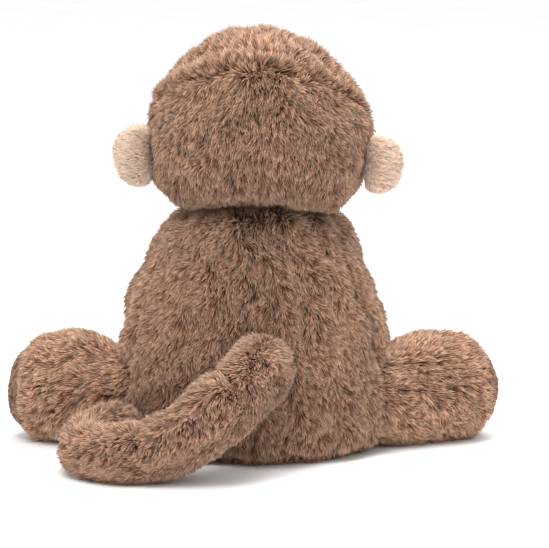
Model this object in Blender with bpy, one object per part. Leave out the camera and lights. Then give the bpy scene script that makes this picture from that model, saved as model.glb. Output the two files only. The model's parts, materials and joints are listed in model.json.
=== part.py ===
"""Sitting stuffed monkey: plush panels sewn over stuffing, with flopping head, ears, limbs and tail.

Metres, +Z up. The monkey sits on the floor at z = 0, over its origin, and faces -Y.
Its own left side is +X. Each soft form is a ball pushed into shape, cut along its seams into
panels of a given cloth thickness, and filled by a stuffing that keeps a hair's gap to the cloth.
"""

import math

import bmesh
import bpy
from mathutils import Matrix, Vector

# ---- cloth, seams and gaps ----
CLOTH = 0.004              # backing cloth with the dense lower part of its pile
SEAM_PULL = 0.0005         # how far each panel's edge stays back from the seam line
FILL_GAP = 0.0005          # between the cloth and what fills it
SOCKET_GAP = 0.0035        # round the root of a limb, where the pile of both sides meets
HIP_SOCKET_GAP = 0.0065    # wider, for the thigh that swells behind its root
HIP_SOCKET_TALL = 1.2      # height of a hip's socket over its width
FLOOR_GAP = 0.0005         # under the limbs, so that the seat alone carries the weight

# ---- torso ----
TORSO_HALF_WIDTH = 0.1045
TORSO_DEPTH_RATIO = 0.8155
SEAT_SHARE = 0.84          # half width of the flat seat, as a share of the torso's
HEM_HEIGHT = 0.032         # where the torso is widest
PEAR_HEIGHT = 0.173        # from the widest level to the tip of the pear curve
PEAR_POWER = 1.55
SHOULDER_HEIGHT = 0.166    # where the pear curve turns in under the head
CAP_RISE = 0.009
SLOUCH = math.radians(17)  # forward tilt of the neck opening
SLOUCH_START = 0.09
TORSO_SEGMENTS = 24
TORSO_RINGS = 12
POUCH_TOP = 0.022          # the pellet pouch lies under this level

# ---- head ----
NECK = Vector((-0.001, 0.0, 0.180))
NECK_AXIS = Vector((0.0, -math.sin(SLOUCH), math.cos(SLOUCH)))
NECK_BALL = 0.0175
NECK_SOCKET = 0.0205
HEAD_CENTRE = Vector((-0.0018, 0.0, 0.2465))
HEAD_HALF = Vector((0.0805, 0.0755, 0.0685))
HEAD_HALF_BELOW = 0.079
HEAD_ROUNDNESS = 1.88      # 2 is an ellipsoid, more is boxier
HEAD_ROUNDNESS_BELOW = 2.45
HEAD_TAPER = 0.035         # how much narrower the head is half way up its dome
HEAD_UNDERSIDE = 0.0015    # height of the flattened underside above the neck plane
HEAD_UNDERSIDE_SOFTNESS = 0.008
HEAD_ROLL = math.radians(2)
HEAD_SEGMENTS = 22
HEAD_RINGS = 12
CROWN_SEAM = (Vector((0.0, 0.0, 0.2500)), Vector((0.0, -0.72, 1.0)))   # plane: point, normal to the crown
FACE_SEAM = (Vector((0.0, -0.048, 0.2300)), Vector((0.0, -1.0, -0.12)))

# ---- muzzle, nose, mouth and eyes ----
MUZZLE_CENTRE = Vector((-0.001, -0.0640, 0.2200))
MUZZLE_HALF = Vector((0.0330, 0.0230, 0.0225))
MUZZLE_CLOTH = 0.003
NOSE_HALF = Vector((0.0075, 0.0016, 0.0042))
NOSE_RISE = math.radians(30)
MOUTH_HALF_ANGLE = math.radians(32)
MOUTH_DROP = math.radians(18)
MOUTH_BOW = math.radians(14)
THREAD_RADIUS = 0.0009
EYE_SPREAD = math.radians(20)
EYE_RISE = math.radians(4)
EYE_RADIUS = 0.0055
EYE_HEIGHT = 0.0038
STEM_RADIUS = 0.0020
STEM_LENGTH = 0.0120
WASHER_DEPTH = 0.0065       # below the face's surface
WASHER_RADIUS = 0.0065
WASHER_THICK = 0.0012

# ---- ears ----
EAR_ROOT = Vector((0.0790, 0.022, 0.2215))     # from the head's middle plane
EAR_REACH = 0.0285
EAR_HALF_HEIGHT = 0.0205
EAR_HALF_THICK = 0.0075
EAR_ROOT_THICK = 0.0028
EAR_RINGS = 8
EAR_SEGMENTS = 12

# ---- arms: centre line from the shoulder to the paw, then the radius along it ----
ARM_PATHS = {
    "left": (
        Vector((0.0480, -0.0515, 0.1530)),
        Vector((0.0580, -0.0705, 0.1375)),
        Vector((0.0690, -0.0785, 0.1150)),
        Vector((0.0785, -0.0815, 0.0940)),
    ),
    "right": (
        Vector((-0.0500, -0.0515, 0.1530)),
        Vector((-0.0595, -0.0715, 0.1375)),
        Vector((-0.0640, -0.0815, 0.1155)),
        Vector((-0.0710, -0.0850, 0.0945)),
    ),
}
ARM_RADII = (0.0205, 0.0200, 0.0205, 0.0215)
ARM_SEGMENTS = 12
ARM_RINGS = 10

# ---- legs: distance from the hip, height of the centre, half height, half width ----
HIP = Vector((0.0980, 0.0040, 0.0360))
LEG_TURN = {"left": math.radians(24), "right": math.radians(31)}
LEG_SECTIONS = (
    (0.000, 0.0370, 0.0340, 0.0270),
    (0.020, 0.0390, 0.0375, 0.0290),
    (0.042, 0.0420, 0.0410, 0.0340),
    (0.064, 0.0385, 0.0385, 0.0355),
)
LEG_ROOT_RADIUS = 0.0280
FOOT_END = 0.031           # from the last section to the tip of the sole
FOOT_SEAM = 0.068          # distance from the hip where the sole panel begins
FOOT_POUCH = 0.050         # and where the pellets begin
LEG_SEGMENTS = 14
LEG_RINGS = 12

# ---- tail: centre line from its root to the hooked tip ----
TAIL_PATH = (
    Vector((-0.0040, 0.0855, 0.0750)),
    Vector((-0.0025, 0.1060, 0.0755)),
    Vector((0.0050, 0.1210, 0.0680)),
    Vector((0.0190, 0.1300, 0.0560)),
    Vector((0.0360, 0.1330, 0.0430)),
    Vector((0.0530, 0.1310, 0.0315)),
    Vector((0.0710, 0.1290, 0.0240)),
    Vector((0.0900, 0.1275, 0.0205)),
    Vector((0.1090, 0.1215, 0.0190)),
    Vector((0.1210, 0.1090, 0.0185)),
    Vector((0.1225, 0.0930, 0.0195)),
    Vector((0.1155, 0.0800, 0.0220)),
    Vector((0.1045, 0.0735, 0.0245)),
)
TAIL_RADII = (
    0.0205, 0.0210, 0.0205, 0.0205, 0.0205, 0.0200, 0.0195, 0.0185, 0.0170, 0.0165, 0.0165, 0.0175, 0.0185
)
TAIL_SEGMENTS = 10
TAIL_RINGS = 22

BALL_SEGMENTS = 12
BALL_RINGS = 8

COLOURS = {
    "plush_brown": (0.33, 0.20, 0.13),
    "plush_dark": (0.22, 0.13, 0.085),
    "plush_pale": (0.66, 0.49, 0.39),
    "stuffing": (0.85, 0.85, 0.83),
    "pellets": (0.70, 0.72, 0.72),
    "bead_black": (0.01, 0.01, 0.01),
    "washer": (0.75, 0.75, 0.73),
    "thread": (0.12, 0.06, 0.04),
}


# ---------------------------------------------------------------- basics


def clear_scene():
    for thing in list(bpy.data.objects):
        bpy.data.objects.remove(thing, do_unlink=True)


def finish_of(slot):
    """The plain material of one slot, made on its first use."""
    material = bpy.data.materials.get(slot)
    if material is None:
        material = bpy.data.materials.new(slot)
        material.use_nodes = True
        shader = material.node_tree.nodes["Principled BSDF"]
        shader.inputs["Base Color"].default_value = (*COLOURS[slot], 1.0)
        shader.inputs["Roughness"].default_value = 0.15 if slot == "bead_black" else 0.9
        shader.inputs["Metallic"].default_value = 0.0
    return material


def face_outwards(bm):
    """Turns every face of a closed mesh to the outside."""
    bmesh.ops.recalc_face_normals(bm, faces=bm.faces[:])
    if bm.calc_volume(signed=True) < 0:
        bmesh.ops.reverse_faces(bm, faces=bm.faces[:])
    bm.normal_update()


def add_piece(name, bm, slot, pivot=None):
    """Turns a mesh in world space into a named object whose origin is its joint's pivot."""
    origin = Vector(pivot) if pivot is not None else Vector((0.0, 0.0, 0.0))
    bmesh.ops.translate(bm, verts=bm.verts[:], vec=-origin)
    face_outwards(bm)
    mesh = bpy.data.meshes.new(name)
    bm.to_mesh(mesh)
    bm.free()
    mesh.shade_smooth()
    mesh.set_sharp_from_angle(angle=math.radians(50))
    piece = bpy.data.objects.new(name, mesh)
    piece.location = origin
    piece.data.materials.append(finish_of(slot))
    bpy.context.scene.collection.objects.link(piece)
    return piece


def mirrored(point, side, middle=0.0):
    """A point given for the left side, on the side asked for."""
    return Vector((middle + point.x * side, point.y, point.z))


def smooth_step(value):
    t = min(max(value, 0.0), 1.0)
    return t * t * (3.0 - 2.0 * t)


def along(points, t):
    """Catmull-Rom curve through points, t from 0 to 1. Works on vectors and on plain numbers."""
    spans = len(points) - 1
    place = min(max(t, 0.0), 1.0) * spans
    i = min(int(place), spans - 1)
    u = place - i
    a = points[i - 1] if i > 0 else points[0] * 2 - points[1]
    b, c = points[i], points[i + 1]
    d = points[i + 2] if i + 2 <= spans else points[spans] * 2 - points[spans - 1]
    return 0.5 * (b * 2 + (c - a) * u + (a * 2 - b * 5 + c * 4 - d) * u * u + (b * 3 - a - c * 3 + d) * u**3)


# ---------------------------------------------------------------- soft forms


def soft_form(segments, rings, place):
    """A ball whose points are put in place by place(direction), kept with their old directions.

    The layer "way" holds each point's direction on the ball, and "out" its outward normal.
    """
    bm = bmesh.new()
    bmesh.ops.create_uvsphere(bm, u_segments=segments, v_segments=rings, radius=1.0)
    way = bm.verts.layers.float_vector.new("way")
    out = bm.verts.layers.float_vector.new("out")
    for v in bm.verts:
        v[way] = v.co.normalized()
        v.co = place(v[way])
    face_outwards(bm)
    for v in bm.verts:
        v[out] = v.normal
    return bm


def seam(form, plane):
    """Adds edges to a form where a plane cuts its skin."""
    geometry = form.verts[:] + form.edges[:] + form.faces[:]
    bmesh.ops.bisect_plane(form, geom=geometry, plane_co=plane[0], plane_no=plane[1], dist=1e-5)


def beyond(plane, point):
    return (point - plane[0]).dot(plane[1]) > 0


def way_of(face, way):
    return sum((v[way] for v in face.verts), Vector()).normalized()


def panel(form, wanted, thickness=CLOTH):
    """The part of a form's skin whose faces are wanted, as a closed shell of the given thickness."""
    bm = form.copy()
    way = bm.verts.layers.float_vector["way"]
    out = bm.verts.layers.float_vector["out"]
    dropped = [f for f in bm.faces if not wanted(way_of(f, way), f.calc_center_median())]
    bmesh.ops.delete(bm, geom=dropped, context="FACES")
    for v in [v for v in bm.verts if v.is_boundary]:
        inward = sum((f.calc_center_median() for f in v.link_faces), Vector()) / len(v.link_faces) - v.co
        inward -= inward.dot(v[out]) * v[out]
        v.co = v.co + inward.normalized() * SEAM_PULL
    extruded = bmesh.ops.extrude_face_region(bm, geom=bm.faces[:], use_keep_orig=True)["geom"]
    for v in extruded:
        if isinstance(v, bmesh.types.BMVert):
            v.co = v.co - v[out] * thickness
    return bm


def filling(form, depth, cuts=()):
    """The solid that fills a form at the given depth, trimmed by planes (point, normal to drop)."""
    bm = form.copy()
    out = bm.verts.layers.float_vector["out"]
    for v in bm.verts:
        v.co = v.co - v[out] * depth
    for point, normal in cuts:
        geometry = bm.verts[:] + bm.edges[:] + bm.faces[:]
        cut = bmesh.ops.bisect_plane(bm, geom=geometry, plane_co=point, plane_no=normal, clear_outer=True)
        rim = [e for e in cut["geom_cut"] if isinstance(e, bmesh.types.BMEdge)]
        bmesh.ops.triangle_fill(bm, edges=rim, use_beauty=True)
    return bm


def tube_place(points, radii, root_radius, end_radius, floor=None):
    """Puts a ball's points round a centre line: its -Z pole at the root, its +Z pole at the end.

    The first and last fifths of the ball's height become round ends.
    """
    share = 0.2

    def section(t):
        ahead = (along(points, min(t + 0.01, 1.0)) - along(points, max(t - 0.01, 0.0))).normalized()
        side = ahead.cross(Vector((0.0, 0.0, 1.0)))
        if side.length < 0.05:
            side = Vector((1.0, 0.0, 0.0))
        side.normalize()
        return ahead, side, side.cross(ahead).normalized()

    def place(way):
        s = math.acos(min(max(-way.z, -1.0), 1.0)) / math.pi
        around = math.atan2(way.y, way.x)
        if s < share:
            bend = s / share * math.pi / 2
            t, radius, beyond = 0.0, root_radius * math.sin(bend), -root_radius * math.cos(bend)
        elif s > 1 - share:
            bend = (1 - s) / share * math.pi / 2
            t, radius, beyond = 1.0, end_radius * math.sin(bend), end_radius * math.cos(bend)
        else:
            t = (s - share) / (1 - 2 * share)
            radius, beyond = along(radii, t), 0.0
        ahead, side, up = section(t)
        point = along(points, t) + ahead * beyond
        point += side * (math.cos(around) * radius) + up * (math.sin(around) * radius)
        if floor is not None:
            point.z = max(point.z, floor)
        return point

    return place


def ball(centre, radius, tall=1.0, segments=BALL_SEGMENTS, rings=BALL_RINGS):
    bm = bmesh.new()
    bmesh.ops.create_uvsphere(bm, u_segments=segments, v_segments=rings, radius=radius)
    bmesh.ops.scale(bm, vec=(1.0, 1.0, tall), verts=bm.verts[:])
    bmesh.ops.translate(bm, verts=bm.verts[:], vec=centre)
    return bm


def cutter(name, bm):
    """A guide solid for Boolean cuts, which the build leaves out."""
    guide = add_piece(name, bm, "stuffing")
    guide.hide_render = True
    guide.display_type = "WIRE"
    return guide


def cut(pieces, guide):
    for piece in pieces:
        boolean = piece.modifiers.new("cut_" + guide.name, "BOOLEAN")
        boolean.operation = "DIFFERENCE"
        boolean.solver = "EXACT"
        boolean.object = guide


# ---------------------------------------------------------------- torso


def torso_outline(s):
    """Height and share of the full width at s, from the seat's middle (0) to the neck's (1)."""
    flat, hem, shoulder = 1 / TORSO_RINGS, 3 / TORSO_RINGS, 10 / TORSO_RINGS
    if s <= flat:
        return 0.0, SEAT_SHARE * s / flat
    if s <= hem:
        bend = (s - flat) / (hem - flat) * math.pi / 2
        return HEM_HEIGHT * (1 - math.cos(bend)), SEAT_SHARE + (1 - SEAT_SHARE) * math.sin(bend)
    height = HEM_HEIGHT + (SHOULDER_HEIGHT - HEM_HEIGHT) * min((s - hem) / (shoulder - hem), 1.0)
    share = math.sqrt(1 - ((height - HEM_HEIGHT) / PEAR_HEIGHT) ** PEAR_POWER)
    if s > shoulder:
        bend = (s - shoulder) / (1 - shoulder) * math.pi / 2
        return height + CAP_RISE * math.sin(bend), share * math.cos(bend)
    return height, share


def torso_place(way):
    height, share = torso_outline(math.acos(min(max(-way.z, -1.0), 1.0)) / math.pi)
    around = math.atan2(way.y, way.x)
    x = math.cos(around) * share * TORSO_HALF_WIDTH
    y = math.sin(around) * share * TORSO_HALF_WIDTH * TORSO_DEPTH_RATIO
    lift = math.tan(SLOUCH) * smooth_step((height - SLOUCH_START) / (SHOULDER_HEIGHT + CAP_RISE - SLOUCH_START))
    return Vector((x, y, height + lift * y))


def make_torso():
    form = soft_form(TORSO_SEGMENTS, TORSO_RINGS, torso_place)
    seat_edge = -math.cos(1.5 * math.pi / TORSO_RINGS)

    def is_back(way):
        return way.y > 0

    cloth = [
        add_piece("seat_panel", panel(form, lambda way, at: way.z < seat_edge), "plush_brown"),
        add_piece(
            "back_left_panel",
            panel(form, lambda way, at: way.z > seat_edge and is_back(way) and way.x > 0),
            "plush_brown",
        ),
        add_piece(
            "back_right_panel",
            panel(form, lambda way, at: way.z > seat_edge and is_back(way) and way.x < 0),
            "plush_brown",
        ),
        add_piece(
            "belly_panel",
            panel(form, lambda way, at: way.z > seat_edge and not is_back(way)),
            "plush_brown",
        ),
    ]
    depth = CLOTH + FILL_GAP
    level = Vector((0.0, 0.0, POUCH_TOP + FILL_GAP))
    stuffing = add_piece(
        "torso_stuffing", filling(form, depth, [(level, Vector((0.0, 0.0, -1.0)))]), "stuffing"
    )
    level = Vector((0.0, 0.0, POUCH_TOP))
    pouch = add_piece(
        "torso_bean_pouch", filling(form, depth, [(level, Vector((0.0, 0.0, 1.0)))]), "pellets"
    )
    form.free()
    return cloth + [stuffing, pouch]


# ---------------------------------------------------------------- head


def head_place(way):
    half = Vector((HEAD_HALF.x, HEAD_HALF.y, HEAD_HALF.z if way.z > 0 else HEAD_HALF_BELOW))
    p = HEAD_ROUNDNESS + (HEAD_ROUNDNESS_BELOW - HEAD_ROUNDNESS) * smooth_step(0.5 - way.z * 1.5)
    size = (abs(way.x) ** p + abs(way.y) ** p + abs(way.z) ** p) ** (1 / p)
    taper = 1 - HEAD_TAPER * math.sin(2 * math.asin(min(max(way.z, 0.0), 1.0)))
    point = HEAD_CENTRE + Vector((way.x * half.x * taper, way.y * half.y, way.z * half.z)) / size
    height = (point - NECK).dot(NECK_AXIS)
    over = height - HEAD_UNDERSIDE
    kept = 0.5 * (height + HEAD_UNDERSIDE + math.sqrt(over * over + HEAD_UNDERSIDE_SOFTNESS**2))
    return point + NECK_AXIS * (kept - height)


def head_surface(way):
    """A point on the head and the outward normal there."""
    step = 0.02
    side = way.cross(Vector((0.0, 0.0, 1.0))).normalized()
    up = side.cross(way)
    point = head_place(way)
    normal = (head_place((way + up * step).normalized()) - point).cross(
        head_place((way + side * step).normalized()) - point
    )
    return point, normal.normalized()


def tilted(bm):
    """Gives a mesh of the head the head's slight sideways roll."""
    turn = Matrix.Rotation(-HEAD_ROLL, 4, "Y")
    bmesh.ops.transform(bm, matrix=turn, verts=bm.verts[:], space=Matrix.Translation(-NECK))
    return bm


def rolled(point):
    """Where the head's roll takes one point."""
    return NECK + Matrix.Rotation(-HEAD_ROLL, 3, "Y") @ (point - NECK)


def unrolled(point):
    return NECK + Matrix.Rotation(HEAD_ROLL, 3, "Y") @ (point - NECK)


def make_head():
    form = soft_form(HEAD_SEGMENTS, HEAD_RINGS, head_place)
    seam(form, CROWN_SEAM)
    seam(form, FACE_SEAM)
    tilted_form(form)

    def is_face(at):
        return beyond(FACE_SEAM, unrolled(at))

    def is_crown(at):
        return beyond(CROWN_SEAM, unrolled(at))

    face = add_piece("face_panel", panel(form, lambda way, at: is_face(at)), "plush_pale", NECK)
    crown = panel(form, lambda way, at: is_crown(at) and not is_face(at))
    crown = add_piece("head_crown_panel", crown, "plush_brown", NECK)
    back = panel(form, lambda way, at: not is_crown(at) and not is_face(at))
    back = add_piece("head_back_panel", back, "plush_brown", NECK)
    stuffing = add_piece("head_stuffing", filling(form, CLOTH + FILL_GAP), "stuffing", NECK)
    make_muzzle(form)
    make_eyes(face, stuffing)
    form.free()
    return [back, crown, face, stuffing]


def tilted_form(form):
    """Rolls a whole soft form, and the normals that it keeps."""
    tilted(form)
    form.normal_update()
    out = form.verts.layers.float_vector["out"]
    for v in form.verts:
        v[out] = v.normal
    return form


def muzzle_point(turn, rise, stand=0.0):
    """A point on the muzzle's front, stand metres off its surface, and the normal there."""
    way = Vector((math.sin(turn) * math.cos(rise), -math.cos(turn) * math.cos(rise), math.sin(rise)))
    point = Vector((way.x * MUZZLE_HALF.x, way.y * MUZZLE_HALF.y, way.z * MUZZLE_HALF.z))
    normal = Vector((way.x / MUZZLE_HALF.x, way.y / MUZZLE_HALF.y, way.z / MUZZLE_HALF.z)).normalized()
    return MUZZLE_CENTRE + point + normal * stand, normal


def muzzle_ball(shrink):
    bm = ball(Vector(), 1.0, 1.0, 18, 12)
    half = MUZZLE_HALF - Vector((shrink, shrink, shrink))
    bmesh.ops.scale(bm, vec=half, verts=bm.verts[:])
    bmesh.ops.translate(bm, verts=bm.verts[:], vec=MUZZLE_CENTRE)
    return tilted(bm)


def make_muzzle(head_form):
    """A domed muzzle on the face: its cloth, its stuffing, and the stitched nose and mouth."""
    outside = cutter("cutter_head_outside", filling(head_form, -FILL_GAP))
    hollow = cutter("cutter_muzzle_hollow", muzzle_ball(MUZZLE_CLOTH))
    cloth = add_piece("muzzle_panel", muzzle_ball(0.0), "plush_pale", NECK)
    stuffing = add_piece("muzzle_stuffing", muzzle_ball(MUZZLE_CLOTH + FILL_GAP), "stuffing", NECK)
    cut([cloth], hollow)
    cut([cloth, stuffing], outside)

    nose = ball(Vector(), 1.0, 1.0, 12, 6)
    bmesh.ops.scale(nose, vec=NOSE_HALF, verts=nose.verts[:])
    centre, normal = muzzle_point(0.0, NOSE_RISE, NOSE_HALF.y + FILL_GAP)
    facing = Vector((0.0, -1.0, 0.0)).rotation_difference(normal).to_matrix().to_4x4()
    bmesh.ops.transform(nose, matrix=Matrix.Translation(centre) @ facing, verts=nose.verts[:])
    add_piece("nose_stitching", tilted(nose), "thread", NECK)

    def mouth_place(way):
        s = math.acos(min(max(-way.z, -1.0), 1.0)) / math.pi
        turn = (2 * s - 1) * MOUTH_HALF_ANGLE
        rise = -MOUTH_DROP - MOUTH_BOW * math.cos((2 * s - 1) * math.pi / 2)
        centre, normal = muzzle_point(turn, rise, THREAD_RADIUS + FILL_GAP)
        across = normal.cross(Vector((1.0, 0.0, 0.0))).normalized()
        radius = THREAD_RADIUS * math.sqrt(max(1 - way.z**8, 0.0))
        around = math.atan2(way.y, way.x)
        return centre + (normal * math.cos(around) + across * math.sin(around)) * radius

    mouth = tilted(soft_form(6, 12, mouth_place))
    add_piece("mouth_stitching", mouth, "thread", NECK)


def turned(outline, centre, normal, segments=14):
    """A round solid turned from (radius, height) pairs that start and end on its axis."""
    bm = bmesh.new()
    ring = [bm.verts.new((radius, 0.0, height)) for radius, height in outline]
    edges = [bm.edges.new(pair) for pair in zip(ring, ring[1:])]
    bmesh.ops.spin(
        bm,
        geom=ring + edges,
        cent=(0.0, 0.0, 0.0),
        axis=(0.0, 0.0, 1.0),
        angle=2 * math.pi,
        steps=segments,
        use_merge=True,
    )
    bmesh.ops.remove_doubles(bm, verts=bm.verts[:], dist=1e-6)
    facing = Vector((0.0, 0.0, 1.0)).rotation_difference(normal).to_matrix().to_4x4()
    bmesh.ops.transform(bm, matrix=Matrix.Translation(centre) @ facing, verts=bm.verts[:])
    return bm


def make_eyes(face, stuffing):
    """Black beads on stems through the face, each held by a washer in a pocket of the stuffing."""
    for side, name in ((1, "left"), (-1, "right")):
        way = Vector(
            (side * math.sin(EYE_SPREAD), -math.cos(EYE_SPREAD) * math.cos(EYE_RISE), math.sin(EYE_RISE))
        ).normalized()
        seat, normal = head_surface(way)
        bead = [(0.0, -STEM_LENGTH), (STEM_RADIUS, -STEM_LENGTH), (STEM_RADIUS, FILL_GAP)]
        bead += [(EYE_RADIUS, FILL_GAP)]
        bead += [
            (EYE_RADIUS * math.cos(a), FILL_GAP * 2 + EYE_HEIGHT * math.sin(a))
            for a in (math.radians(d) for d in (0, 25, 50, 72))
        ]
        bead += [(0.0, FILL_GAP * 2 + EYE_HEIGHT)]
        add_piece(name + "_eye", tilted(turned(bead, seat, normal)), "bead_black", NECK)

        inner, outer = STEM_RADIUS + FILL_GAP, WASHER_RADIUS
        top = -WASHER_DEPTH
        ring = [(inner, top), (outer, top), (outer, top - WASHER_THICK), (inner, top - WASHER_THICK)]
        add_piece(name + "_eye_washer", tilted(washer_ring(ring, seat, normal)), "washer", NECK)

        hole = [(0.0, -CLOTH * 2), (inner, -CLOTH * 2), (inner, 0.003), (0.0, 0.003)]
        cut([face], cutter("cutter_" + name + "_stem", tilted(turned(hole, seat, normal))))
        floor = -STEM_LENGTH - FILL_GAP
        pocket_radius = WASHER_RADIUS + FILL_GAP
        pocket = [(0.0, floor), (pocket_radius, floor), (pocket_radius, 0.0), (0.0, 0.0)]
        cut([stuffing], cutter("cutter_" + name + "_pocket", tilted(turned(pocket, seat, normal))))


def washer_ring(section, centre, normal, segments=14):
    """A flat ring turned from its closed section of (radius, height) corners."""
    bm = bmesh.new()
    ring = [bm.verts.new((radius, 0.0, height)) for radius, height in section]
    edges = [bm.edges.new((ring[i], ring[(i + 1) % len(ring)])) for i in range(len(ring))]
    bmesh.ops.spin(
        bm,
        geom=ring + edges,
        cent=(0.0, 0.0, 0.0),
        axis=(0.0, 0.0, 1.0),
        angle=2 * math.pi,
        steps=segments,
        use_merge=True,
    )
    facing = Vector((0.0, 0.0, 1.0)).rotation_difference(normal).to_matrix().to_4x4()
    bmesh.ops.transform(bm, matrix=Matrix.Translation(centre) @ facing, verts=bm.verts[:])
    return bm


# ---------------------------------------------------------------- ears


def ear_place(side):
    """A D-shaped ear, straight and thin along its root, lying out along X."""

    def place(way):
        out, thick, up = way.x * side, way.y, way.z
        power = 2.0 if out > 0 else 5.0
        size = (abs(out) ** power + abs(up) ** power + abs(thick) ** power) ** (1 / power)
        out, up = out / size, up / size
        reach = (1 + out) / 2
        half = EAR_ROOT_THICK + (EAR_HALF_THICK - EAR_ROOT_THICK) * math.sin(math.pi * min(reach * 1.1, 1.0) ** 0.8)
        root = mirrored(EAR_ROOT, side, HEAD_CENTRE.x)
        return root + Vector((side * reach * EAR_REACH, thick / size * half, up * EAR_HALF_HEIGHT))

    return place


def make_ears():
    for side, name in ((1, "left"), (-1, "right")):
        form = soft_form(EAR_SEGMENTS, EAR_RINGS, ear_place(side))
        form = tilted_form(form)
        pivot = rolled(mirrored(EAR_ROOT, side, HEAD_CENTRE.x))
        middle, gap = Vector((0.0, EAR_ROOT.y, 0.0)), Vector((0.0, SEAM_PULL / 2, 0.0))
        back = filling(form, 0.0, [(middle + gap, Vector((0.0, -1.0, 0.0)))])
        front = filling(form, 0.0, [(middle - gap, Vector((0.0, 1.0, 0.0)))])
        add_piece(name + "_ear_back_panel", back, "plush_pale", pivot)
        add_piece(name + "_ear_front_panel", front, "plush_pale", pivot)
        form.free()


# ---------------------------------------------------------------- arms


def make_arms():
    roots = []
    for side, name in ((1, "left"), (-1, "right")):
        path = ARM_PATHS[name]
        place = tube_place(path, ARM_RADII, ARM_RADII[0], ARM_RADII[-1])
        form = soft_form(ARM_SEGMENTS, ARM_RINGS, place)
        # the seam runs down the arm between its outer and its inner face
        outer = panel(form, lambda way, at: way.x * side > 0)
        inner = panel(form, lambda way, at: way.x * side < 0)
        add_piece(name + "_arm_outer_panel", outer, "plush_brown", path[0])
        add_piece(name + "_arm_inner_panel", inner, "plush_brown", path[0])
        add_piece(name + "_arm_stuffing", filling(form, CLOTH + FILL_GAP), "stuffing", path[0])
        roots.append((path[0], ARM_RADII[0] + SOCKET_GAP, 1.0))
        form.free()
    return roots


# ---------------------------------------------------------------- legs


def leg_place(side, turn):
    ahead = Vector((side * math.cos(turn), -math.sin(turn), 0.0))
    across = Vector((side * math.sin(turn), math.cos(turn), 0.0))
    hip = mirrored(HIP, side)
    share = 0.22
    distances, centres, heights, widths = (list(column) for column in zip(*LEG_SECTIONS))

    def place(way):
        s = math.acos(min(max(-way.z, -1.0), 1.0)) / math.pi
        around = math.atan2(way.y, way.x)
        t = min(max((s - share) / (1 - 2 * share), 0.0), 1.0)
        distance, centre = along(distances, t), along(centres, t)
        shrink = 1.0
        if s < share:
            bend = s / share * math.pi / 2
            shrink = math.sin(bend)
            distance -= LEG_ROOT_RADIUS * math.cos(bend)
        elif s > 1 - share:
            bend = (1 - s) / share * math.pi / 2
            shrink = math.sin(bend) ** 0.8
            distance += FOOT_END * math.cos(bend) ** 1.2
        height, width = along(heights, t) * shrink, along(widths, t) * shrink
        point = hip + ahead * distance + across * (math.cos(around) * width)
        point.z = max(centre + math.sin(around) * height, FLOOR_GAP)
        return point

    return place, ahead


def make_legs():
    roots = []
    for side, name in ((1, "left"), (-1, "right")):
        place, ahead = leg_place(side, LEG_TURN[name])
        hip = mirrored(HIP, side)
        form = soft_form(LEG_SEGMENTS, LEG_RINGS, place)

        def distance(at):
            return (at - hip).dot(ahead)

        def is_sole(at):
            return distance(at) > FOOT_SEAM

        top = panel(form, lambda way, at: not is_sole(at) and way.y > 0)
        under = panel(form, lambda way, at: not is_sole(at) and way.y < 0)
        sole = panel(form, lambda way, at: is_sole(at))
        add_piece(name + "_leg_top_panel", top, "plush_brown", hip)
        add_piece(name + "_leg_under_panel", under, "plush_brown", hip)
        add_piece(name + "_sole_panel", sole, "plush_dark", hip)
        depth = CLOTH + FILL_GAP
        thigh = filling(form, depth, [(hip + ahead * FOOT_POUCH, ahead)])
        pellets = filling(form, depth, [(hip + ahead * (FOOT_POUCH + FILL_GAP), -ahead)])
        add_piece(name + "_leg_stuffing", thigh, "stuffing", hip)
        add_piece(name + "_foot_bean_pouch", pellets, "pellets", hip)
        roots.append((hip, LEG_ROOT_RADIUS + HIP_SOCKET_GAP, HIP_SOCKET_TALL))
        form.free()
    return roots


# ---------------------------------------------------------------- tail


def make_tail():
    place = tube_place(TAIL_PATH, TAIL_RADII, TAIL_RADII[0], TAIL_RADII[-1], FLOOR_GAP)
    form = soft_form(TAIL_SEGMENTS, TAIL_RINGS, place)
    root = TAIL_PATH[0]
    add_piece("tail_upper_panel", panel(form, lambda way, at: way.y > 0), "plush_brown", root)
    add_piece("tail_under_panel", panel(form, lambda way, at: way.y < 0), "plush_brown", root)
    add_piece("tail_stuffing", filling(form, CLOTH + FILL_GAP), "stuffing", root)
    form.free()
    return [(root, TAIL_RADII[0] + SOCKET_GAP, 1.0)]


# ---------------------------------------------------------------- assembly


def main():
    clear_scene()
    torso = make_torso()
    head = make_head()
    make_ears()
    roots = make_arms() + make_legs() + make_tail()
    for index, (centre, radius, tall) in enumerate(roots):
        socket = cutter("cutter_socket_%d" % index, ball(centre, radius, tall))
        cut(torso, socket)
    add_piece("neck_stuffing", ball(NECK, NECK_BALL), "stuffing", NECK)
    collar = cutter("cutter_neck", ball(NECK, NECK_SOCKET))
    cut(torso[:-1] + head[:2] + head[3:], collar)


main()
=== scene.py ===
"""Looks of the sitting stuffed monkey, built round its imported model.

Metres, +Z up. The monkey sits over its origin and faces -Y, and its own left is +X. Each stuffed
form gets a padded skin, swelled from the soft solids that it replaces, and on it a pile of separate
combed fibres. Bead eyes, washers and stitched details finish the face.
"""

import json
import logging
import math
from dataclasses import dataclass, field, fields, replace
from enum import Enum

import bmesh
import bpy
import numpy as np
from mathutils import Matrix, Vector
from mathutils.bvhtree import BVHTree

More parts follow.
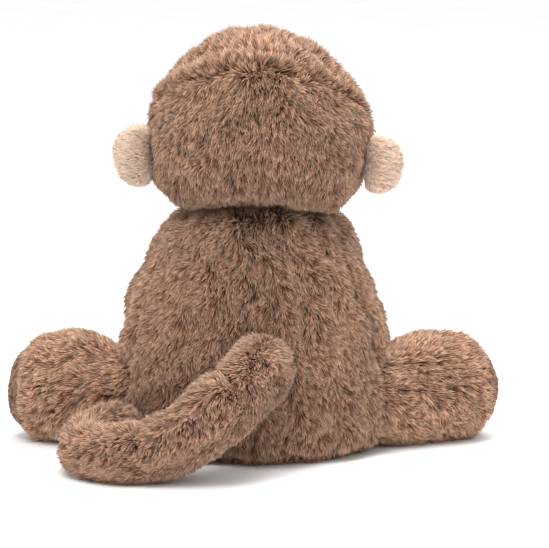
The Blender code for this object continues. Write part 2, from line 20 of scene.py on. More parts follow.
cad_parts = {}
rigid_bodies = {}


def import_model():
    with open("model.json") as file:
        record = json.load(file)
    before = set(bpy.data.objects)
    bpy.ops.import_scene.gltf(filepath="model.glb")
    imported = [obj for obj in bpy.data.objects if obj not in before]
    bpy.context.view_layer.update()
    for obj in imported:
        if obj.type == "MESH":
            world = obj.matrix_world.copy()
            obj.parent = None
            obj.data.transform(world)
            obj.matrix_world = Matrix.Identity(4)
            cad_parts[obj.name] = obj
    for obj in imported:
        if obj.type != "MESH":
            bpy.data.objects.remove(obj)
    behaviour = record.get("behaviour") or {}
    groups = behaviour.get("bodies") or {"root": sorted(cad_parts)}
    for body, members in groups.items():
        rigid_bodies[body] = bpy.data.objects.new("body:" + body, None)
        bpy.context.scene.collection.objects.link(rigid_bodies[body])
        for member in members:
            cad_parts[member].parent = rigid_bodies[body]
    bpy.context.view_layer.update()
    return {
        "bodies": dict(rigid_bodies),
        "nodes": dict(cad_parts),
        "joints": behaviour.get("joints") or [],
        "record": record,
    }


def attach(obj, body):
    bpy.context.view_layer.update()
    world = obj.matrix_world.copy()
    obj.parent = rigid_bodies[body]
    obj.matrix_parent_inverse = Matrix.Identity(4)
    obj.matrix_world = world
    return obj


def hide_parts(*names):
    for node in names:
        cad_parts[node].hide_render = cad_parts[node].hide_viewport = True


LOG = logging.getLogger("monkey")
MM = 0.001
CM2 = 1e4  # square centimetres in a square metre
SWELL_FRAMES = 20
LUMP_WAVE = 30 * MM

DOWN = np.array((0.0, 0.0, -1.0))


class Slot(Enum):
    """The record's material slots, which each pile and form carries but nothing here reads."""

    BROWN = "plush_brown"
    DARK = "plush_dark"
    PALE = "plush_pale"
    THREAD = "thread"


# ---------------------------------------------------------------- materials


def linear(colour: str) -> tuple[float, float, float, float]:
    """Turns an sRGB colour into the linear one that shaders take.

    Args:
        colour: six hex digits after a hash sign.

    Returns:
        Red, green, blue and an alpha of 1.
    """
    parts = [int(colour[i : i + 2], 16) / 255 for i in (1, 3, 5)]
    parts = [p / 12.92 if p <= 0.04045 else ((p + 0.055) / 1.055) ** 2.4 for p in parts]
    return (parts[0], parts[1], parts[2], 1.0)


def set_stops(ramp: bpy.types.ColorRamp, stops: list[tuple[float, str]]) -> None:
    """Sets the stops of a colour ramp.

    Args:
        ramp: the ramp.
        stops: place and sRGB colour of each stop, in order.
    """
    while len(ramp.elements) < len(stops):
        ramp.elements.new(1.0)
    for element, (place, colour) in zip(ramp.elements, stops):
        element.position = place
        element.color = linear(colour)


def add_node(
    tree: bpy.types.NodeTree, kind: str, settings: dict | None = None, **inputs
) -> bpy.types.Node:
    """Adds one node with its settings, values and links.

    Args:
        tree: the material's node tree.
        kind: the node type's name, less the ShaderNode in front.
        settings: properties of the node itself, or the stops of a colour ramp.
        inputs: a value or an output socket for each input, named with _ for a space.

    Returns:
        The new node.
    """
    node = tree.nodes.new("ShaderNode" + kind)
    for key, value in (settings or {}).items():
        if key == "stops":
            set_stops(node.color_ramp, value)
        else:
            setattr(node, key, value)
    for key, value in inputs.items():
        socket = node.inputs[int(key[1:]) if key[1:].isdigit() else key.replace("_", " ")]
        if isinstance(value, bpy.types.NodeSocket):
            tree.links.new(value, socket)
        else:
            socket.default_value = value
    return node


@dataclass(frozen=True)
class Finish:
    """What a surface is made of, as a procedural material."""

    name: str

    def look(self, tree: bpy.types.NodeTree, place: bpy.types.NodeSocket) -> dict:
        """Adds the finish's own nodes.

        Args:
            tree: the material's node tree.
            place: the place on the object, in metres.

        Returns:
            The inputs of the Principled shader.
        """
        raise NotImplementedError

    def material(self) -> bpy.types.Material:
        """Makes the material on its first use."""
        known = bpy.data.materials.get(self.name)
        if known:
            return known
        material = bpy.data.materials.new(self.name)
        material.use_nodes = True
        tree = material.node_tree
        tree.nodes.clear()
        place = add_node(tree, "TexCoord").outputs["Object"]
        shader = add_node(tree, "BsdfPrincipled", **self.look(tree, place))
        add_node(tree, "OutputMaterial", Surface=shader.outputs["BSDF"])
        return material


@dataclass(frozen=True)
class PileFinish(Finish):
    """Knitted polyester pile: soft matt fibres, painted darker towards each fibre's root as shade deep in the
    pile, and paler at the tip.
    """

    root: str
    middle: str
    tip: str
    # width of the painted nap light and shade patches
    patch_mm: float = 34.0
    sheen: float = 0.22

    def look(self, tree: bpy.types.NodeTree, place: bpy.types.NodeSocket) -> dict:
        """Colours each fibre along its length, with painted shade towards the root, by its tone, which
        carries random tone and painted light and shade, and in soft patches of painted nap light.
        """
        height = add_node(tree, "Attribute", {"attribute_name": "pile_height"}).outputs["Fac"]
        tone = add_node(tree, "Attribute", {"attribute_name": "pile_tone"}).outputs["Fac"]
        # painted shade: each fibre's colour darkens towards its root, standing in for the shade deep in the
        # pile
        stops = [(0.0, self.root), (0.5, self.middle), (1.0, self.tip)]
        along = add_node(tree, "ValToRGB", {"stops": stops}, Fac=height)
        # painted light and shade: lighter and darker patches a few centimetres wide, standing in for the
        # light that the nap catches as it turns
        painted_nap_light = add_node(
            tree, "TexNoise", Vector=place, Scale=1000 / self.patch_mm, Detail=3.0, Roughness=0.55
        ).outputs["Fac"]
        shade = add_node(
            tree, "MapRange", Value=painted_nap_light, From_Min=0.3, From_Max=0.7, To_Min=0.92, To_Max=1.08
        ).outputs["Result"]
        value = add_node(tree, "Math", {"operation": "MULTIPLY"}, _0=shade, _1=tone).outputs["Value"]
        colour = add_node(tree, "HueSaturation", Color=along.outputs["Color"], Value=value)
        return {
            "Base_Color": colour.outputs["Color"],
            "Roughness": 0.78,
            "Specular_IOR_Level": 0.25,
            "Sheen_Weight": self.sheen,
            "Sheen_Roughness": 0.45,
            "Sheen_Tint": linear(self.tip),
        }


@dataclass(frozen=True)
class BackingFinish(Finish):
    """Knitted backing cloth with the dense underfur: dull, slightly ribbed, seen only between fibres."""

    dark: str
    light: str
    rib_mm: float = 1.2
    mottle_mm: float = 6.0

    def look(self, tree: bpy.types.NodeTree, place: bpy.types.NodeSocket) -> dict:
        """Mottles the cloth and raises its loops."""
        mottle = add_node(tree, "TexNoise", Vector=place, Scale=1000 / self.mottle_mm, Detail=4.0)
        stops = [(0.3, self.dark), (0.72, self.light)]
        colour = add_node(tree, "ValToRGB", {"stops": stops}, Fac=mottle.outputs["Fac"])
        rib = add_node(tree, "TexVoronoi", {"feature": "F1"}, Vector=place, Scale=1000 / self.rib_mm)
        bump = add_node(tree, "Bump", Strength=0.6, Distance=0.4 * MM, Height=rib.outputs["Distance"])
        return {
            "Base_Color": colour.outputs["Color"],
            "Roughness": 0.92,
            "Normal": bump.outputs["Normal"],
            "Sheen_Weight": 0.2,
        }


@dataclass(frozen=True)
class BeadFinish(Finish):
    """Moulded acetal bead, polished: deep black with a clear small highlight and faint flow marks."""

    name: str = "polished_acetal_black"
    colour: str = "#0B0807"
    depth: str = "#1B120D"
    flow_mm: float = 2.5

    def look(self, tree: bpy.types.NodeTree, place: bpy.types.NodeSocket) -> dict:
        """Draws the flow marks in colour and gloss."""
        flow = add_node(tree, "TexNoise", Vector=place, Scale=1000 / self.flow_mm, Detail=2.0).outputs["Fac"]
        colour = add_node(tree, "ValToRGB", {"stops": [(0.35, self.colour), (0.75, self.depth)]}, Fac=flow)
        rough = add_node(tree, "MapRange", Value=flow, To_Min=0.05, To_Max=0.14)
        return {
            "Base_Color": colour.outputs["Color"],
            "Roughness": rough.outputs["Result"],
            "IOR": 1.48,
            "Coat_Weight": 0.5,
            "Coat_Roughness": 0.05,
        }


@dataclass(frozen=True)
class NylonFinish(Finish):
    """Moulded nylon washer: milky white, satin, a little cloudy."""

    name: str = "moulded_nylon"
    light: str = "#E9E6DF"
    cloud: str = "#D5D1C8"
    cloud_mm: float = 4.0

    def look(self, tree: bpy.types.NodeTree, place: bpy.types.NodeSocket) -> dict:
        """Clouds the nylon."""
        cloud = add_node(tree, "TexNoise", Vector=place, Scale=1000 / self.cloud_mm, Detail=3.0)
        stops = [(0.3, self.cloud), (0.7, self.light)]
        colour = add_node(tree, "ValToRGB", {"stops": stops}, Fac=cloud.outputs["Fac"])
        return {"Base_Color": colour.outputs["Color"], "Roughness": 0.42, "IOR": 1.53}


@dataclass(frozen=True)
class ThreadFinish(Finish):
    """Mercerised embroidery thread: dark, silky along its twist, with fine plies."""

    name: str = "embroidery_thread"
    dark: str = "#2A1912"
    light: str = "#573728"
    ply_mm: float = 0.35

    def look(self, tree: bpy.types.NodeTree, place: bpy.types.NodeSocket) -> dict:
        """Twists the plies round the thread."""
        ply = add_node(
            tree,
            "TexWave",
            {"wave_type": "BANDS", "bands_direction": "DIAGONAL"},
            Vector=place,
            # this comes to a twist about every 2.5 mm, coarser than the real plies so that it shows
            Scale=1000 / self.ply_mm / 20,
            Distortion=1.5,
            Detail=2.0,
        ).outputs["Fac"]
        colour = add_node(tree, "ValToRGB", {"stops": [(0.2, self.dark), (0.85, self.light)]}, Fac=ply)
        bump = add_node(tree, "Bump", Strength=0.5, Distance=0.1 * MM, Height=ply)
        return {
            "Base_Color": colour.outputs["Color"],
            "Roughness": 0.42,
            "Normal": bump.outputs["Normal"],
            "Sheen_Weight": 0.3,
        }


@dataclass(frozen=True)
class BoardFinish(Finish):
    """Matt white painted board under the object, with the faint mottle of a roller."""

    name: str = "painted_board"
    light: str = "#FDFDFD"
    dark: str = "#F9F9FA"
    mottle_mm: float = 150.0

    def look(self, tree: bpy.types.NodeTree, place: bpy.types.NodeSocket) -> dict:
        """Mottles the paint."""
        mottle = add_node(tree, "TexNoise", Vector=place, Scale=1000 / self.mottle_mm, Detail=2.0)
        stops = [(0.3, self.dark), (0.7, self.light)]
        colour = add_node(tree, "ValToRGB", {"stops": stops}, Fac=mottle.outputs["Fac"])
        return {"Base_Color": colour.outputs["Color"], "Roughness": 0.9}


BROWN_PILE = PileFinish("brown_polyester_pile", "#3A2218", "#7F533C", "#D3B096")
DARK_PILE = PileFinish("dark_polyester_pile", "#3A2418", "#74503C", "#B3917A")
PALE_PILE = PileFinish("pale_polyester_pile", "#CDA78E", "#EACBB2", "#FBE7D6", sheen=0.3)
BROWN_BACKING = BackingFinish("brown_knitted_backing", "#3D2518", "#5E402F")
PALE_BACKING = BackingFinish("pale_knitted_backing", "#C6A28A", "#E2C4AE")
THREAD = ThreadFinish()


# ---------------------------------------------------------------- shapes


class Waves:
    """Smooth seeded noise: a sum of plane waves of about one wavelength, with its slope."""

    def __init__(self, wavelength: float, seed: int, count: int = 18) -> None:
        """Draws the waves.

        Args:
            wavelength: middle wavelength in metres.
            seed: seed of the draw.
            count: number of waves.
        """
        draw = np.random.default_rng(seed)
        ways = draw.normal(size=(count, 3))
        ways /= np.linalg.norm(ways, axis=1, keepdims=True)
        self.ways = ways * (2 * math.pi / (wavelength * draw.uniform(0.75, 1.4, (count, 1))))
        self.phases = draw.uniform(0, 2 * math.pi, count)
        self.size = math.sqrt(2 / count)

    def value(self, at: np.ndarray) -> np.ndarray:
        """The noise at each point, with a spread of about 1."""
        return np.sin(at @ self.ways.T + self.phases).sum(1) * self.size

    def slope(self, at: np.ndarray) -> np.ndarray:
        """The unit-free slope of the noise at each point, with a spread of about 1."""
        length = np.linalg.norm(self.ways, axis=1).mean()
        return (np.cos(at @ self.ways.T + self.phases) @ self.ways) * self.size / length


def unit(vectors: np.ndarray) -> np.ndarray:
    """Rows scaled to a length of 1."""
    return vectors / np.maximum(np.linalg.norm(vectors, axis=-1, keepdims=True), 1e-9)


def step(low: float, high: float, value: np.ndarray) -> np.ndarray:
    """A smooth rise from 0 at low to 1 at high."""
    t = np.clip((value - low) / (high - low), 0.0, 1.0)
    return t * t * (3.0 - 2.0 * t)


def bell(value: np.ndarray, middle: float, width: float) -> np.ndarray:
    """A smooth bump of 1 at the middle that is almost 0 at twice the width from it."""
    return np.exp(-(((value - middle) / width) ** 2))


def dot(one: np.ndarray, other: np.ndarray) -> np.ndarray:
    """The product of each row of one with the same row of the other, as a column."""
    return np.einsum("ij,ij->i", one, other)[:, None]


def smooth_curve(points: list[tuple[float, float, float]], count: int) -> np.ndarray:
    """Points spread along a Catmull-Rom curve.

    Args:
        points: what the curve passes through.
        count: number of points to return.

    Returns:
        An array of count rows.
    """
    p = np.array(points, float)
    p = np.vstack((2 * p[0] - p[1], p, 2 * p[-1] - p[-2]))
    place = np.linspace(0, len(points) - 1 - 1e-9, count)
    i = place.astype(int)
    u = (place - i)[:, None]
    a, b, c, d = p[i], p[i + 1], p[i + 2], p[i + 3]
    return 0.5 * (2 * b + (c - a) * u + (2 * a - 5 * b + 4 * c - d) * u**2 + (3 * b - a - 3 * c + d) * u**3)


def new_piece(name: str, mesh: bpy.types.Mesh, materials: list[bpy.types.Material]) -> bpy.types.Object:
    """Puts a finished mesh into the scene, with its object at the origin.

    Args:
        name: the piece's name.
        mesh: its mesh, in place.
        materials: its materials, in the order of its faces' numbers.

    Returns:
        The object.
    """
    mesh.name = name
    mesh.materials.clear()
    for material in materials:
        mesh.materials.append(material)
    piece = bpy.data.objects.new(name, mesh)
    bpy.context.scene.collection.objects.link(piece)
    return piece


def evaluated(piece: bpy.types.Object) -> bpy.types.Mesh:
    """A new mesh of a piece with its modifiers applied."""
    graph = bpy.context.evaluated_depsgraph_get()
    return bpy.data.meshes.new_from_object(piece.evaluated_get(graph))


def rows(items: bpy.types.bpy_prop_collection, key: str) -> np.ndarray:
    """The vectors that a mesh keeps for each of its points, one in each row."""
    flat = np.empty(len(items) * 3, np.float32)
    items.foreach_get(key, flat)
    return flat.reshape(-1, 3).astype(float)


def set_points(mesh: bpy.types.Mesh, at: np.ndarray) -> None:
    """Moves a mesh's points to new places."""
    mesh.vertices.foreach_set("co", at.astype(np.float32).ravel())
    mesh.update()


def blade_faces() -> np.ndarray:
    """The faces of one fibre: a closed blade of root, left, right and tip, from a three-sided cone.

    Returns:
        Four triangles that face outwards, as numbers of those four corners.
    """
    bm = bmesh.new()
    bmesh.ops.create_cone(bm, cap_ends=True, segments=3, radius1=1.0, radius2=0.0, depth=1.0)
    bmesh.ops.remove_doubles(bm, verts=bm.verts[:], dist=1e-5)
    bmesh.ops.triangulate(bm, faces=bm.faces[:])
    bmesh.ops.recalc_face_normals(bm, faces=bm.faces[:])
    corners = sorted(bm.verts, key=lambda v: v.co.z)
    number = {v: i for i, v in enumerate(corners)}
    faces = np.array([[number[v] for v in f.verts] for f in bm.faces])
    base = next(f for f in faces if 3 not in f)
    order = {int(base[0]): 0, int(base[1]): 1, int(base[2]): 2, 3: 3}
    bm.free()
    return np.vectorize(order.get)(faces)


BLADE = blade_faces()
BLADE_HEIGHTS = (0.0, 0.5, 0.5, 1.0)
MOST_FIBRES = 49000  # of four triangles each, so that a piece stays under 200,000


@dataclass(frozen=True)
class Pile:
    """How the fibres on one panel are cut and combed."""

    piece: str
    finish: PileFinish
    slot: Slot
    length: float = 10.2 * MM
    width: float = 0.68 * MM
    per_cm2: float = 165.0
    lean: float = 61.0
    curl: float = 22.0
    tuft: float = 1.5 * MM
    # spread of each fibre's tone: random tone, and the painted shade in the gaps between tufts
    contrast: float = 0.36


@dataclass(frozen=True)
class Nap:
    """How unevenly any pile lies. Angles are in radians, and shares are of 1."""

    firm: float = 0.55  # strength of comb that lays a fibre fully over
    swirl: float = 0.34
    swirl_wave: float = 24 * MM
    stray: float = 0.17
    ruffle_wave: float = 13 * MM
    ruffle_lean: float = 0.14
    ruffle_length: float = 0.07
    stray_lean: float = 0.16
    flattest_root: float = 1.35
    steepest_tip: float = 0.15
    flattest_tip: float = 1.5
    lengths: tuple[float, float] = (0.72, 1.08)
    at_seam: float = 0.84
    off_seam: float = 0.16
    knee: float = 0.48
    tuft_wave: float = 4.5 * MM
    lock_wave: float = 14 * MM
    sunk: float = 0.4 * MM
    roll: float = 0.9
    widths: tuple[float, float] = (0.7, 1.2)
    floor: float = 0.25 * MM
    tones: tuple[float, float] = (0.6, 1.5)


NAP = Nap()


@dataclass
class Fibres:
    """Fibres to be made into one piece: their corners, and their tone from dark to light, which carries
    random tone and painted light and shade.
    """

    root: np.ndarray
    left: np.ndarray
    right: np.ndarray
    tip: np.ndarray
    out: np.ndarray
    tone: np.ndarray

    def pieces(self, pile: Pile) -> list[bpy.types.Object]:
        """Makes the fibres one piece, or a left and a right one where they are very many.

        Args:
            pile: the pile's name and finish.

        Returns:
            The new pieces.
        """
        if len(self.root) <= MOST_FIBRES:
            return [self.piece(pile)]
        on_left = self.root[:, 0] > np.median(self.root[:, 0])
        halves = {"_left": on_left, "_right": ~on_left}
        made = []
        for end, half in halves.items():
            part = Fibres(*(getattr(self, of.name)[half] for of in fields(self)))
            made.append(part.piece(replace(pile, piece=pile.piece + end)))
        return made

    def piece(self, pile: Pile) -> bpy.types.Object:
        """Makes every fibre a closed blade.

        Args:
            pile: the pile's name and finish.

        Returns:
            One object that holds all the fibres.
        """
        across = np.cross(self.left - self.root, self.right - self.root)
        turned = dot(self.tip - self.root, across) > 0
        left = np.where(turned, self.right, self.left)
        right = np.where(turned, self.left, self.right)
        corners = np.stack((self.root, left, right, self.tip), axis=1)
        count = len(corners)
        faces = (np.arange(count)[:, None, None] * 4 + BLADE[None]).reshape(-1, 3)
        mesh = bpy.data.meshes.new(pile.piece)
        mesh.vertices.add(count * 4)
        mesh.vertices.foreach_set("co", corners.astype(np.float32).ravel())
        mesh.loops.add(len(faces) * 3)
        mesh.loops.foreach_set("vertex_index", faces.astype(np.int32).ravel())
        mesh.polygons.add(len(faces))
        mesh.polygons.foreach_set("loop_start", np.arange(0, len(faces) * 3, 3, dtype=np.int32))
        mesh.update(calc_edges=True)
        mesh.shade_smooth()
        # a blade shades as if it were round, from the skin's normal out to both of its edges
        side, half_out = unit(left - right) * 0.8, 0.5 * self.out
        normals = np.stack((self.out, half_out + side, half_out - side, self.out), axis=1)
        mesh.normals_split_custom_set_from_vertices(unit(normals.reshape(-1, 3)))
        height = mesh.attributes.new("pile_height", "FLOAT", "POINT")
        height.data.foreach_set("value", np.tile(np.array(BLADE_HEIGHTS, np.float32), count))
        tone = mesh.attributes.new("pile_tone", "FLOAT", "POINT")
        tone.data.foreach_set("value", np.repeat(self.tone, 4).astype(np.float32))
        return new_piece(pile.piece, mesh, [pile.finish.material()])


@dataclass
class StuffedForm:
    """A sewn and stuffed form: a padded skin, and a combed pile on each of its panels."""

    name: str
    body: str
    panels: dict[str, Pile]
    fillings: tuple[str, ...]
    seed: int
    voxel: float = 4.5 * MM
    smoothings: int = 3
    swell: float = 1.6 * MM
    fill: float = 0.7
    groove: float = 0.9 * MM
    ridge: float = 0.8 * MM
    lump: float = 0.7 * MM
    floor: float = 0.3 * MM
    pressed: float = 1.5 * MM
    # painted light and shade: the whole pile of the form is painted lighter or darker by this factor
    shade: float = 1.0
    backing: BackingFinish = BROWN_BACKING
    slot: Slot = Slot.BROWN
    smooth_seam: tuple[str, ...] = ()
    bare_balls: tuple[tuple[tuple[float, float, float], float], ...] = ()
    skin: bpy.types.Object = field(default=None, init=False)
    reach: np.ndarray = field(default=None, init=False)
    apart: np.ndarray = field(default=None, init=False)

    # ---- skin

    def solids(self) -> list[str]:
        """The CAD nodes that this form stands for."""
        return [*self.panels, *self.fillings]

    def shape(self, nodes: dict[str, bpy.types.Object]) -> None:
        """Joins the form's soft solids into one closed skin of even faces.

        Args:
            nodes: the CAD nodes by name.
        """
        bm = bmesh.new()
        for name in self.solids():
            bm.from_mesh(nodes[name].data)
        bmesh.ops.remove_doubles(bm, verts=bm.verts[:], dist=0.01 * MM)
        mesh = bpy.data.meshes.new(self.name)
        bm.to_mesh(mesh)
        bm.free()
        self.skin = new_piece(self.name, mesh, [self.backing.material()])
        remesh = self.skin.modifiers.new("even_faces", "REMESH")
        remesh.mode = "VOXEL"
        remesh.voxel_size = self.voxel
        even = evaluated(self.skin)
        self.skin.modifiers.clear()
        bm = bmesh.new()
        bm.from_mesh(even)
        axes = {"use_axis_x": True, "use_axis_y": True, "use_axis_z": True}
        for _ in range(self.smoothings):
            bmesh.ops.smooth_vert(bm, verts=bm.verts[:], factor=0.5, **axes)
        bm.to_mesh(even)
        bm.free()
        self.skin.data = even

    def loosen(self) -> None:
        """Makes the skin a cloth under pressure from inside, for the stuffing to swell."""
        cloth = self.skin.modifiers.new("swelling", "CLOTH")
        settings = cloth.settings
        settings.use_pressure = True
        settings.uniform_pressure_force = 4.0
        settings.effector_weights.gravity = 0.0
        settings.tension_stiffness = 20.0
        settings.compression_stiffness = 20.0
        settings.bending_stiffness = 0.6
        settings.quality = 4
        cloth.collision_settings.use_collision = False
        cloth.point_cache.frame_start = 1
        cloth.point_cache.frame_end = SWELL_FRAMES

    def settle(self) -> None:
        """Takes the swollen shape, with each point's move capped, and drops the cloth."""
        before = rows(self.skin.data.vertices, "co")
        moved = rows(evaluated(self.skin).vertices, "co") - before
        self.skin.modifiers.clear()
        length = np.linalg.norm(moved, axis=1, keepdims=True)
        moved *= np.minimum(1.0, self.swell / np.maximum(length, 1e-9))
        set_points(self.skin.data, before + moved)

    def sew(self, nodes: dict[str, bpy.types.Object]) -> None:
        """Subdivides the skin once, draws its seams in, and raises its soft lumps.

        Args:
            nodes: the CAD nodes by name.
        """
        self.skin.modifiers.new("smoother", "SUBSURF").levels = 1
        self.skin.data = evaluated(self.skin)
        self.skin.modifiers.clear()
        mesh = self.skin.data
        at, out = rows(mesh.vertices, "co"), rows(mesh.vertex_normals, "vector")
        self.reach = np.empty((len(at), len(self.panels)))
        for column, name in enumerate(self.panels):
            panel = nodes[name].data
            faces = [face.vertices for face in panel.polygons]
            tree = BVHTree.FromPolygons([v.co for v in panel.vertices], faces)
            self.reach[:, column] = [tree.find_nearest(Vector(p))[3] for p in at]
        self.apart = self.from_seam()
        drawn = self.ridge * bell(self.apart, 5 * MM, 3.5 * MM)
        drawn -= self.groove * bell(self.apart, 0.0, 2.2 * MM)
        drawn += self.lump * Waves(LUMP_WAVE, self.seed).value(at) + self.relief(at)
        at = at + out * drawn[:, None]
        at[:, 2] = np.maximum(at[:, 2], self.floor)
        set_points(mesh, at)
        mesh.shade_smooth()
        self.line_pale_panels(mesh)

    def line_pale_panels(self, mesh: bpy.types.Mesh) -> None:
        """Gives the panels of pale plush their own pale backing.

        Args:
            mesh: the skin's mesh.
        """
        pale_panels = np.array([pile.finish is PALE_PILE for pile in self.panels.values()])
        if self.backing is PALE_BACKING or not pale_panels.any():
            return
        mesh.materials.append(PALE_BACKING.material())
        owner = self.reach.argmin(1)
        first = np.array([face.vertices[0] for face in mesh.polygons])
        mesh.polygons.foreach_set("material_index", pale_panels[owner[first]].astype(np.int32))

    def from_seam(self) -> np.ndarray:
        """How far each of the skin's points is from the nearest seam that shows."""
        together = [i for i, name in enumerate(self.panels) if name in self.smooth_seam]
        columns = [self.reach[:, i] for i in range(len(self.panels)) if i not in together]
        if together:
            columns.append(self.reach[:, together].min(axis=1))
        if len(columns) < 2:
            return np.full(len(self.reach), 1.0)
        near = np.sort(np.stack(columns, axis=1), axis=1)
        return near[:, 1] - near[:, 0]

    def relief(self, at: np.ndarray) -> np.ndarray:
        """The form's own folds and ridges.

        Args:
            at: places on the skin.

        Returns:
            How far each place stands out.
        """
        return np.zeros(len(at))

    def tint(self, at: np.ndarray) -> np.ndarray:
        """How much lighter the pile is painted at each place, as painted light and shade."""
        return np.full(len(at), self.shade)

    def attach(self) -> None:
        """Hides the CAD solids behind the skin, and lets the skin move with its body."""
        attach(self.skin, self.body)
        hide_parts(*self.solids())

    # ---- pile

    def comb(self, at: np.ndarray, out: np.ndarray) -> np.ndarray:
        """Which way the pile is combed at each point. A short vector lets it stand.

        Args:
            at: places on the skin.
            out: outward normals there.

        Returns:
            One vector for each place.
        """
        return np.tile(DOWN, (len(at), 1))

    def bare(self, at: np.ndarray, out: np.ndarray) -> np.ndarray:
        """Which places carry no pile, because they are sewn up inside a joint or pressed on the floor.

        Args:
            at: places on the skin.
            out: outward normals there.

        Returns:
            True for each bare place.
        """
        hidden = (at[:, 2] < self.pressed) & (out[:, 2] < -0.7)
        for centre, radius in self.bare_balls:
            hidden |= np.linalg.norm(at - np.array(centre), axis=1) < radius
        return hidden

    def grow(self) -> list[bpy.types.Object]:
        """Grows the pile of every panel.

        Returns:
            The new pieces, one or two for each panel.
        """
        mesh = self.skin.data
        mesh.calc_loop_triangles()
        corners = np.empty(len(mesh.loop_triangles) * 3, np.int32)
        mesh.loop_triangles.foreach_get("vertices", corners)
        corners = corners.reshape(-1, 3)
        at, out = rows(mesh.vertices, "co"), rows(mesh.vertex_normals, "vector")
        draw = np.random.default_rng(self.seed)
        a, b, c = (at[corners[:, i]] for i in range(3))
        area = np.linalg.norm(np.cross(b - a, c - a), axis=1) / 2
        densest = max(pile.per_cm2 for pile in self.panels.values())
        count = int(area.sum() * CM2 * densest)
        face = np.searchsorted(np.cumsum(area), draw.random(count) * area.sum())
        tri = corners[face.clip(0, len(area) - 1)]
        u, v = draw.random(count), draw.random(count)
        over = u + v > 1
        u, v = np.where(over, 1 - u, u), np.where(over, 1 - v, v)
        share = np.stack((1 - u - v, u, v), axis=1)[:, :, None]
        root, normal = (at[tri] * share).sum(1), unit((out[tri] * share).sum(1))
        owner = (self.reach[tri] * share).sum(1).argmin(1)
        apart = (self.apart[tri] * share[:, :, 0]).sum(1)
        chance = draw.random(count)
        shown = ~self.bare(root, normal)
        made = []
        for number, pile in enumerate(self.panels.values()):
            mine = shown & (owner == number) & (chance < pile.per_cm2 / densest)
            fibres = self.fibres(pile, root[mine], normal[mine], apart[mine], self.seed * 10 + number)
            for piece in fibres.pieces(pile):
                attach(piece, self.body)
                made.append(piece)
                LOG.info("%s: %d faces", piece.name, len(piece.data.polygons))
        return made

    def fibres(
        self, pile: Pile, root: np.ndarray, normal: np.ndarray, apart: np.ndarray, seed: int
    ) -> Fibres:
        """Draws the fibres of one panel.

        Args:
            pile: how they are cut and combed.
            root: where they leave the skin.
            normal: the skin's normals there.
            apart: distance of each from the nearest seam.
            seed: seed of the draw.

        Returns:
            The fibres' corners and tones.
        """
        draw = np.random.default_rng(seed)
        count = len(root)
        way = self.comb(root, normal)
        way -= dot(way, normal) * normal
        strength = step(0.0, NAP.firm, np.linalg.norm(way, axis=1))
        way = unit(way)
        side = np.cross(normal, way)
        swirl = NAP.swirl * Waves(NAP.swirl_wave, seed + 3).value(root) + NAP.stray * draw.normal(size=count)
        cosine, sine = np.cos(swirl)[:, None], np.sin(swirl)[:, None]
        way, side = way * cosine + side * sine, side * cosine - way * sine
        ruffle = Waves(NAP.ruffle_wave, seed + 5).value(root)
        lean = np.radians(pile.lean) * (0.3 + 0.7 * strength) * (1 + NAP.ruffle_lean * ruffle)
        lean += NAP.stray_lean * draw.normal(size=count)
        bend = math.radians(pile.curl) * 0.5
        low = np.clip(lean - bend, 0.0, NAP.flattest_root)[:, None]
        high = np.clip(lean + bend, NAP.steepest_tip, NAP.flattest_tip)[:, None]
        length = pile.length * draw.uniform(*NAP.lengths, count) * (1 + NAP.ruffle_length * ruffle)
        length *= NAP.at_seam + NAP.off_seam * step(0.5 * MM, 5 * MM, apart)
        length = length[:, None]
        middle = root + length * NAP.knee * (np.cos(low) * normal + np.sin(low) * way)
        tip = middle + length * (1 - NAP.knee) * (np.cos(high) * normal + np.sin(high) * way)
        tufts = Waves(NAP.tuft_wave, seed + 7)
        pull = tufts.slope(root) + 0.5 * Waves(NAP.lock_wave, seed + 9).slope(root)
        # neighbours close up sideways only, into locks that run with the comb
        flat_pull = pull - normal * dot(pull, normal)
        pull = side * dot(pull, side) + 0.25 * flat_pull
        middle -= pull * pile.tuft * 0.35
        tip -= pull * pile.tuft
        root = root - normal * NAP.sunk

        roll = draw.uniform(-NAP.roll, NAP.roll, count)[:, None]
        flat = unit(side * np.cos(roll) + normal * np.sin(roll))
        flat = flat * (pile.width * draw.uniform(*NAP.widths, count)[:, None] / 2)
        left, right = middle + flat, middle - flat
        for corner in (left, right, tip, root):
            corner[:, 2] = np.maximum(corner[:, 2], NAP.floor)
        # painted shade: fibres in the gaps between tufts are painted darker and those in the middle of a tuft
        # lighter; the rest is random tone, and the form's painted light and shade is multiplied in
        painted_tuft_shade = np.clip(-tufts.value(root), -1.5, 1.5)
        tone = 1 + pile.contrast * (0.75 * painted_tuft_shade + 0.65 * draw.normal(size=count))
        return Fibres(root, left, right, tip, normal, np.clip(tone, *NAP.tones) * self.tint(root))


# ---------------------------------------------------------------- the monkey's forms


def brown(piece: str, **cut: float) -> Pile:
    """The long brown pile of a panel, with the measures that differ from the usual ones."""
    return Pile(piece, BROWN_PILE, Slot.BROWN, **cut)


def pale(piece: str, **cut: float) -> Pile:
    """The short pale pile of the face and ears, with the measures that differ from the usual ones."""
    return Pile(piece, PALE_PILE, Slot.PALE, **cut)


NECK = np.array((-0.001, 0.0, 0.180))
NECK_SLOUCH = math.radians(17)
NECK_AXIS = np.array((0.0, -math.sin(NECK_SLOUCH), math.cos(NECK_SLOUCH)))
NOSE = (-0.001, -0.092, 0.226)
TAIL_ROOT = (-0.004, 0.0855, 0.075)
SHOULDERS = {"left": (0.048, -0.0515, 0.153), "right": (-0.050, -0.0515, 0.153)}
HIPS = {"left": (0.098, 0.004, 0.036), "right": (-0.098, 0.004, 0.036)}
LEG_TURNS = {"left": 24.0, "right": 31.0}
SIGNS = {"left": 1.0, "right": -1.0}


def past_neck(at: np.ndarray) -> tuple[np.ndarray, np.ndarray]:
    """Height over the neck's plane and distance from its axis.

    Args:
        at: places.

    Returns:
        The heights and the distances.
    """
    height = (at - NECK) @ NECK_AXIS
    across = np.linalg.norm(at - NECK - height[:, None] * NECK_AXIS, axis=1)
    return height, across


